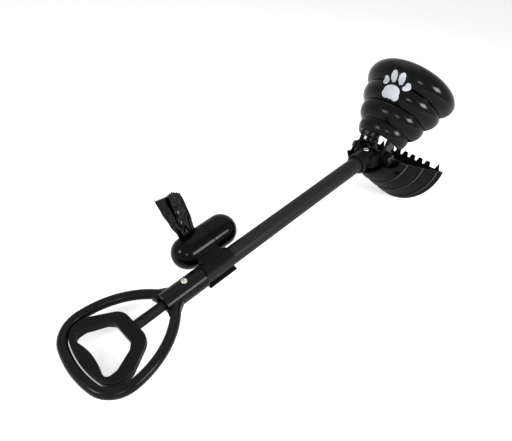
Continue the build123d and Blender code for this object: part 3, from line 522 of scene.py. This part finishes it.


# This mask places a painted highlight: pale colour where the raised rib edges would catch light
def rib_crests(tree):
    """1 on the outside of the lower jaw's raised ribs, where the painted highlight goes, and 0
    elsewhere.
    """
    here = put(tree, "ShaderNodeTexCoord").outputs
    scoop = seen_from(tree, here["Object"], HINGE, (0, SCOOP_SWING - TILT, 0))
    place = component(tree, scoop, "X")
    crests = [stripe(tree, place, rib, RIB_HALF_WIDTHS) for rib in RIB_PLACES]
    from_hinge = put(
        tree, "ShaderNodeVectorMath", {0: here["Object"], 1: HINGE}, operation="SUBTRACT",
    ).outputs["Vector"]
    outward = ramp(tree, dot(tree, here["Normal"], from_hinge), *RIB_OUTWARD)
    return maths(tree, "MULTIPLY", strongest(tree, crests), outward)


class SCOOPER_OT_lower_jaw(bpy.types.Operator):
    """Satin plastic on the lower jaw, with a pale painted highlight along the crests of its ribs"""

    bl_idname = "scooper.lower_jaw"
    bl_label = "Lower Jaw"

    def execute(self, context):
        look = context.scene.scooper_finishes
        material = moulded_satin(
            "scoop_satin", look.scoop_colour[:], look.grain_size, roughness=0.46, specular=0.012,
        )
        tree = material.node_tree
        shader = tree.nodes["Principled BSDF"]
        # Painted highlight: the pale rib colour on the crests stands in for light caught by the
        # raised edges
        painted_rib_highlight = mix(tree, rib_crests(tree), source(shader, "Base Color"), look.rib_highlight_colour[:])
        feed(tree, shader, "Base Color", painted_rib_highlight)
        dress(material, "lower_jaw")
        return {"FINISHED"}


# Metals, as finish, colour, roughness, stretch of the tool marks and nodes
ROUND_MARKS = (1, 1, 1)
DRAWN_MARKS = (0.04, 1, 1)
METALS = (
    (
        "nickel_plate", (0.56, 0.54, 0.49, 1), 0.30, ROUND_MARKS,
        ("socket_screw", "head_screw", "upper_drive_nut", "lower_drive_nut"),
    ),
    ("zinc_plate", (0.46, 0.47, 0.49, 1), 0.34, ROUND_MARKS, ("clevis_pin", "rod_pin")),
    ("drawn_rod", (0.55, 0.55, 0.56, 1), 0.28, DRAWN_MARKS, ("pull_rod",)),
    (
        "blackened_steel", (0.035, 0.035, 0.038, 1), 0.36, ROUND_MARKS,
        ("hinge_bolt", "hinge_nut", "draw_plate", "upper_drive_pin", "lower_drive_pin"),
    ),
)


class SCOOPER_OT_steel(bpy.types.Operator):
    """Steel on the screws, the bolt, the pins, the draw plate and the rod"""

    bl_idname = "scooper.steel"
    bl_label = "Screws and Rod"

    def execute(self, context):
        for name, colour, roughness, marks, nodes in METALS:
            dress(plated_steel(name, colour, roughness, marks), *nodes)
        return {"FINISHED"}


# Place along the tool where the cap meets the capsule's body, and how matt the seam is
CAPSULE_SEAM = 0.0365
SEAM_HALF_WIDTHS = (0.00049, 0.0007)
SEAM_HAZE = 0.85


class SCOOPER_OT_dispenser(bpy.types.Operator):
    """Polished capsule with the seam of its cap, the roll of bags and its card core"""

    bl_idname = "scooper.dispenser"
    bl_label = "Bag Dispenser"

    def execute(self, context):
        look = context.scene.scooper_finishes
        shell, tree, shader = polished_plastic(
            "capsule_gloss", look.gloss_colour[:], roughness=0.14, specular=0.07,
        )
        place = component(tree, tool_coords(tree), "X")
        seam = stripe(tree, place, CAPSULE_SEAM, SEAM_HALF_WIDTHS, SEAM_HAZE)
        hazed = maths(tree, "ADD", source(shader, "Roughness"), seam, clamp=True)
        feed(tree, shader, "Roughness", hazed)
        dress(shell, "dispenser_body", "dispenser_cap")
        dress(bag_film("rolled_film", look.film_colour[:]), "bag_roll")
        dress(wound_card("roll_card", BROWN_CARD), "roll_core")
        return {"FINISHED"}


# Bag tail. Each section is the bag's folded width at one share of its height above the slot: the
# back leaf runs from its free edge to the fold, and the front leaf comes back over it. Pairs are
# the place along the capsule and the stand off from the slot's plane, in millimetres
TAIL_SECTIONS = (
    (0.00, ((5.6, -1.5), (10.0, -1.9), (15.0, -1.3), (20.0, -1.9), (24.0, -1.4), (26.2, -0.2),
            (24.2, 1.3), (20.0, 1.8), (16.0, 1.0), (12.4, 1.7), (9.6, 1.3))),
    (0.10, ((4.8, -1.2), (9.6, -2.1), (14.8, -1.1), (20.2, -2.0), (25.0, -1.3), (27.4, 0.0),
            (25.0, 1.7), (20.6, 2.8), (16.4, 1.6), (12.8, 2.4), (10.2, 1.6))),
    (0.38, ((1.2, -0.8), (7.0, -2.2), (13.6, -1.6), (20.0, -2.4), (26.4, -1.4), (28.9, 0.6),
            (26.8, 3.0), (22.0, 4.6), (17.6, 3.2), (14.0, 3.0), (11.4, 1.6))),
    (0.72, ((-1.6, -0.4), (5.2, -2.0), (12.2, -2.0), (19.4, -2.4), (25.8, -1.0), (28.4, 1.4),
            (26.6, 4.2), (22.4, 5.4), (18.4, 3.4), (15.0, 4.4), (11.8, 2.2))),
    (1.00, ((-2.8, -0.2), (3.8, -1.6), (10.6, -1.8), (18.0, -1.8), (24.0, -0.2), (26.8, 2.2),
            (25.2, 4.8), (21.8, 5.6), (19.0, 2.6), (15.6, 5.2), (12.4, 3.0))),
)
TAIL_TOP_SHARES = (0.985, 0.965, 0.945, 0.93, 0.905, 0.87, 0.90, 0.955, 0.985, 1.0, 0.99)

# Height of the tail's foot over the capsule's axis in millimetres, and the sheet's faces
TAIL_ROOT = 18.6
FILM_COLUMNS, FILM_ROWS = 96, 72
LAST_PLACE = 0.999999

# Pleats fade out at this share of the height, and all creases start at the slot over the lowest
# sixth of it. The fold between the leaves lies half way across. Each noise has its two
# directions, in marks across the bag and up it, and a layer of its own
GATHER_REACH = 0.35
CREASE_START = 6
PLEATS, PLEAT_SWAY, PLEAT_HEIGHT = 46, 3, 0.45
LEAF_FOLD = 0.5
BACK_CREASE = 0.25
RIDGE_MIDDLE, RIDGE_HEIGHT = 0.75, 2.0
FINE_HEIGHT = 0.08
SWAY_NOISE = ((5, 0), (0, 1.5), 1)
RIDGE_NOISE = ((5, 2.0), (-2, 2.9), 4)
FINE_NOISE = ((22, -6), (9, 13), 9)
SEED_STEP = (3.1, 1.7, 0)


def along(values, place):
    """Catmull-Rom value at a place from 0 to 1 along evenly spaced values."""
    last = len(values) - 1
    step = min(place, LAST_PLACE) * last
    index = int(step)
    share = step - index
    before, start, end, after = (values[min(max(index + k, 0), last)] for k in (-1, 0, 1, 2))
    slope_in, slope_out = (end - before) / 2, (after - start) / 2
    square, cube = share * share, share ** 3
    return (
        (2 * cube - 3 * square + 1) * start + (cube - 2 * square + share) * slope_in
        + (3 * square - 2 * cube) * end + (cube - square) * slope_out
    )


def tail_point(across, up):
    """Point of the smooth tail, as place along the capsule and stand off, in millimetres."""
    heights = [section[0] for section in TAIL_SECTIONS]
    upper = next(k for k in range(1, len(heights)) if up <= heights[k] or k == len(heights) - 1)
    share = (up - heights[upper - 1]) / (heights[upper] - heights[upper - 1])
    share = share * share * (3 - 2 * share)
    point = []
    for axis in (0, 1):
        low, high = (
            along([pair[axis] for pair in TAIL_SECTIONS[k][1]], across) for k in (upper - 1, upper)
        )
        point.append(low + (high - low) * share)
    return point


def film_noise(kind, across, up, shift):
    """Noise of one kind at a point of the film."""
    first, second, layer = kind
    place = (way[0] * across + way[1] * up for way in (first, second))
    return noise.noise(Vector((*place, layer)) + shift)


def crease_height(across, up, shift):
    """Height of pleats, ridges and fine creases at a point, as a share of the crumple."""
    gather = 1 - min(up / GATHER_REACH, 1)
    front = max(0.0, (across - LEAF_FOLD) * 2)
    pleat = math.sin(across * PLEATS + PLEAT_SWAY * film_noise(SWAY_NOISE, across, up, shift))
    ridge = 1 - abs(film_noise(RIDGE_NOISE, across, up, shift))
    fine = film_noise(FINE_NOISE, across, up, shift)
    return PLEAT_HEIGHT * gather * pleat + (BACK_CREASE + front) * (
        RIDGE_HEIGHT * (ridge - RIDGE_MIDDLE) + FINE_HEIGHT * fine
    )


def film_point(bag, across, share, shift):
    """Point of the creased film in the row frame, at these shares of its width and height."""
    up = share * along(TAIL_TOP_SHARES, across)
    place, stand = tail_point(across, up)
    crease = bag.crumple * MM_PER_METRE * crease_height(across, up, shift)
    crease *= min(share * CREASE_START, 1)
    position = CAPSULE_AXIS + Vector((place / MM_PER_METRE, 0, 0))
    position += SLOT_UP * (TAIL_ROOT / MM_PER_METRE + up * bag.tail_length)
    position += SLOT_OUT * ((stand + crease) / MM_PER_METRE)
    return TOOL_TO_ROW @ position


def film_sheet(bag):
    """The folded film as a mesh with its flat map and its torn edge marked, and its area."""
    work = bmesh.new()
    uv_layer = work.loops.layers.uv.new("flat")
    grid, flat = [], {}
    shift = Vector([bag.seed * step for step in SEED_STEP])
    for row in range(FILM_ROWS + 1):
        line = []
        for column in range(FILM_COLUMNS + 1):
            across, share = column / FILM_COLUMNS, row / FILM_ROWS
            vertex = work.verts.new(film_point(bag, across, share, shift))
            flat[vertex] = (across, share)
            line.append(vertex)
        grid.append(line)
    for low, high in zip(grid, grid[1:]):
        for left, right, over_right, over_left in zip(low, low[1:], high[1:], high):
            face = work.faces.new((left, right, over_right, over_left))
            face.smooth = True
            for loop in face.loops:
                loop[uv_layer].uv = flat[loop.vert]
    area = sum(face.calc_area() for face in work.faces)
    mesh = bpy.data.meshes.new("bag_tail_film")
    work.to_mesh(mesh)
    work.free()
    first_of_top = FILM_ROWS * (FILM_COLUMNS + 1)
    torn = [min(edge.vertices) >= first_of_top for edge in mesh.edges]
    mesh.attributes.new("torn", "BOOLEAN", "EDGE").data.foreach_set("value", torn)
    return mesh, area


def torn_edge_tree(material):
    """Geometry Nodes that set the tabs of a torn perforation along the film's marked edge."""
    tree = bpy.data.node_groups.new("torn_edge", "GeometryNodeTree")
    face = tree.interface
    face.new_socket("Geometry", in_out="INPUT", socket_type="NodeSocketGeometry")
    for name, kind, default in (
        ("Pitch", "NodeSocketFloat", TAB_PITCH),
        ("Tab Width", "NodeSocketFloat", TAB_PITCH * TAB_WIDTH_SHARE),
        ("Tab Height", "NodeSocketFloat", TAB_HEIGHT),
        ("Up", "NodeSocketVector", (0, 0, 1)),
    ):
        face.new_socket(name, in_out="INPUT", socket_type=kind).default_value = default
    face.new_socket("Geometry", in_out="OUTPUT", socket_type="NodeSocketGeometry")
    given = put(tree, "NodeGroupInput").outputs
    marked = put(
        tree, "GeometryNodeInputNamedAttribute", {"Name": "torn"}, data_type="BOOLEAN",
    ).outputs["Attribute"]
    edge = put(tree, "GeometryNodeMeshToCurve", {"Mesh": given["Geometry"], "Selection": marked})
    line = put(
        tree, "GeometryNodeResampleCurve",
        {"Curve": edge.outputs["Curve"], "Length": given["Pitch"]}, mode="LENGTH",
    ).outputs["Curve"]
    size = {"Size X": given["Tab Width"], "Size Y": given["Tab Height"]}
    flat_tab = put(
        tree, "GeometryNodeMeshGrid", {**size, "Vertices X": 3, "Vertices Y": 2},
    ).outputs["Mesh"]
    lift = put(
        tree, "ShaderNodeCombineXYZ", {"Y": maths(tree, "MULTIPLY", given["Tab Height"], 0.5)},
    ).outputs["Vector"]
    tab = put(
        tree, "GeometryNodeTransform", {"Geometry": flat_tab, "Translation": lift},
    ).outputs["Geometry"]
    run = put(tree, "GeometryNodeInputTangent").outputs["Tangent"]
    turn = put(
        tree, "FunctionNodeAxesToRotation", {"Primary Axis": run, "Secondary Axis": given["Up"]},
        primary_axis="X", secondary_axis="Y",
    ).outputs["Rotation"]
    tabs = put(
        tree, "GeometryNodeInstanceOnPoints", {"Points": line, "Instance": tab, "Rotation": turn},
    ).outputs["Instances"]
    whole = put(tree, "GeometryNodeJoinGeometry")
    for part in (tabs, given["Geometry"]):
        tree.links.new(part, whole.inputs["Geometry"])
    real = put(
        tree, "GeometryNodeRealizeInstances", {"Geometry": whole.outputs["Geometry"]},
    ).outputs["Geometry"]
    dressed = put(
        tree, "GeometryNodeSetMaterial", {"Geometry": real, "Material": material},
    ).outputs["Geometry"]
    tree.links.new(dressed, put(tree, "NodeGroupOutput").inputs["Geometry"])
    return tree


def make_film_tail(bag, material):
    """The bag's drawn end with its torn edge and its thickness, and the sheet's area."""
    mesh, area = film_sheet(bag)
    tail = bpy.data.objects.new("bag_tail_film", mesh)
    bpy.context.scene.collection.objects.link(tail)
    tree = torn_edge_tree(material)
    edge_maker = tail.modifiers.new("torn edge", "NODES")
    edge_maker.node_group = tree
    values = {
        "Pitch": bag.tab_pitch,
        "Tab Width": bag.tab_pitch * TAB_WIDTH_SHARE,
        "Tab Height": bag.tab_height,
        "Up": (TOOL_TO_ROW.to_3x3() @ SLOT_UP)[:],
    }
    for item in tree.interface.items_tree:
        if item.in_out == "INPUT" and item.name in values:
            edge_maker[item.identifier] = values[item.name]
    skin = tail.modifiers.new("film", "SOLIDIFY")
    skin.thickness = bag.film_thickness
    skin.offset = 0
    bpy.context.view_layer.update()
    depsgraph = bpy.context.evaluated_depsgraph_get()
    plain = bpy.data.meshes.new_from_object(tail.evaluated_get(depsgraph))
    tail.modifiers.clear()
    tail.data = plain
    return tail, area


class SCOOPER_OT_bag_tail(bpy.types.Operator):
    """The folded film tail that stands out of the capsule's slot"""

    bl_idname = "scooper.bag_tail"
    bl_label = "Bag Tail"

    def execute(self, context):
        bag = context.scene.scooper_bag
        film = bag_film("tail_film", context.scene.scooper_finishes.film_colour[:])
        tail, area = make_film_tail(bag, film)
        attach(tail, "dispenser")
        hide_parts("bag_tail")
        return {"FINISHED"}


# Studio, in metres and degrees. Soft boxes are name, power property, size, azimuth, elevation
# and distance from the middle of the scene
SCENE_MIDDLE = Vector((0.0, 0.0, 0.08))
SOFT_BOXES = (
    ("front_box", "key_power", (0.50, 0.32), -83, 22, 1.3),
    ("handle_box", "side_power", (0.27, 0.20), 168, 22, 1.3),
    ("corner_box", "corner_power", (0.26, 0.18), -140, 24, 1.3),
    ("top_box", "top_power", (1.2, 1.2), 40, 72, 1.6),
)
CAMERA_PLACE = (-0.386682, -0.303101, 0.394026)
CAMERA_TURN = (55.0477, -4.9057, -43.7892)
SENSOR_WIDTH = 36
NEAREST_SEEN = 0.01

# The floor's half side, and its colour and that of the air. Rays that show the background see
# the floor glow and the air white, and the others get the air's plain light
FLOOR_REACH = 6
FLOOR_GREY = (0.8, 0.8, 0.8, 1)
FLOOR_GLOW = 0.55
WHITE = (1, 1, 1, 1)
AIR_LIGHT, AIR_SEEN = 0.42, 1.0


def seen_share(tree):
    """1 for rays from the camera and for those that gloss or glass sends on."""
    path = put(tree, "ShaderNodeLightPath").outputs
    sent_on = maths(tree, "ADD", path["Is Glossy Ray"], path["Is Transmission Ray"])
    return maths(tree, "ADD", path["Is Camera Ray"], sent_on, clamp=True)


def lay_floor(scene):
    """A plain pale floor that is white where the camera sees it unshaded."""
    work = bmesh.new()
    bmesh.ops.create_grid(work, x_segments=1, y_segments=1, size=FLOOR_REACH)
    mesh = bpy.data.meshes.new("studio_floor")
    work.to_mesh(mesh)
    work.free()
    floor = bpy.data.objects.new("studio_floor", mesh)
    scene.collection.objects.link(floor)
    paper, tree, shader = start_finish("floor_paper", FLOOR_GREY, specular=0.0)
    mottle = grain_noise(tree, tool_coords(tree), size=0.4)
    two_tone(tree, shader, FLOOR_GREY, mottle, dark=0.995, light=1.0)
    shader.inputs["Roughness"].default_value = 0.9
    shader.inputs["Emission Color"].default_value = WHITE
    glow = maths(tree, "MULTIPLY", seen_share(tree), FLOOR_GLOW)
    feed(tree, shader, "Emission Strength", glow)
    mesh.materials.append(paper)


def fill_air(scene):
    """White surroundings with a plain level of light."""
    world = bpy.data.worlds.new("studio_air")
    world.use_nodes = True
    air = world.node_tree
    background = air.nodes["Background"]
    background.inputs["Color"].default_value = WHITE
    feed(air, background, "Strength", ramp(air, seen_share(air), 0.0, 1.0, AIR_LIGHT, AIR_SEEN))
    scene.world = world


def soft_box(scene, name, power, size, azimuth, elevation, distance):
    """A rectangular lamp that looks at the middle of the scene from a direction."""
    lamp = bpy.data.lights.new(name, "AREA")
    lamp.shape = "RECTANGLE"
    lamp.size, lamp.size_y = size
    lamp.energy = power
    box = bpy.data.objects.new(name, lamp)
    turn, rise = math.radians(azimuth), math.radians(elevation)
    level = math.cos(rise)
    away = Vector((math.cos(turn) * level, math.sin(turn) * level, math.sin(rise)))
    box.location = SCENE_MIDDLE + away * distance
    box.rotation_euler = (-away).to_track_quat("-Z", "Y").to_euler()
    scene.collection.objects.link(box)


def set_camera(scene, focal_length):
    """The camera where the photograph was taken from."""
    lens = bpy.data.cameras.new("photo_camera")
    lens.sensor_width = SENSOR_WIDTH
    lens.sensor_fit = "HORIZONTAL"
    lens.lens = focal_length
    lens.clip_start = NEAREST_SEEN
    camera = bpy.data.objects.new("photo_camera", lens)
    camera.location = CAMERA_PLACE
    camera.rotation_euler = [math.radians(angle) for angle in CAMERA_TURN]
    scene.collection.objects.link(camera)
    scene.camera = camera


class SCOOPER_OT_studio(bpy.types.Operator):
    """Floor, white surroundings, soft boxes and the camera"""

    bl_idname = "scooper.studio"
    bl_label = "Studio"

    def execute(self, context):
        scene, studio = context.scene, context.scene.scooper_studio
        lay_floor(scene)
        fill_air(scene)
        for name, power, size, azimuth, elevation, distance in SOFT_BOXES:
            soft_box(scene, name, getattr(studio, power), size, azimuth, elevation, distance)
        set_camera(scene, studio.lens)
        scene.view_settings.view_transform = "Standard"
        return {"FINISHED"}


class SCOOPER_PT_sidebar(bpy.types.Panel):
    """Lists the scooper's finishes, its bag and its studio"""

    bl_idname = "SCOOPER_PT_sidebar"
    bl_label = "Pet Scooper"
    bl_space_type = "VIEW_3D"
    bl_region_type = "UI"
    bl_category = "Scooper"

    def draw(self, context):
        column = self.layout.column()
        for name in GROUPS:
            group = getattr(context.scene, name)
            for setting in group.__annotations__:
                column.prop(group, setting)
        for operator in OPERATORS:
            column.operator(operator.bl_idname)


GROUPS = {
    "scooper_finishes": ScooperFinishes,
    "scooper_bag": ScooperBag,
    "scooper_studio": ScooperStudio,
}
OPERATORS = (
    SCOOPER_OT_studio,
    SCOOPER_OT_mouldings,
    SCOOPER_OT_tube,
    SCOOPER_OT_upper_jaw,
    SCOOPER_OT_lower_jaw,
    SCOOPER_OT_steel,
    SCOOPER_OT_dispenser,
    SCOOPER_OT_bag_tail,
)


def register():
    for name, group in GROUPS.items():
        bpy.utils.register_class(group)
        setattr(bpy.types.Scene, name, PointerProperty(type=group))
    for operator in OPERATORS:
        bpy.utils.register_class(operator)
    bpy.utils.register_class(SCOOPER_PT_sidebar)


def unregister():
    bpy.utils.unregister_class(SCOOPER_PT_sidebar)
    for operator in reversed(OPERATORS):
        bpy.utils.unregister_class(operator)
    for name, group in GROUPS.items():
        delattr(bpy.types.Scene, name)
        bpy.utils.unregister_class(group)


def main():
    register()
    bpy.ops.scooper.studio()
    bpy.ops.scooper.mouldings()
    bpy.ops.scooper.tube()
    bpy.ops.scooper.upper_jaw()
    bpy.ops.scooper.lower_jaw()
    bpy.ops.scooper.steel()
    bpy.ops.scooper.dispenser()
    bpy.ops.scooper.bag_tail()


if __name__ == "__main__":
    main()
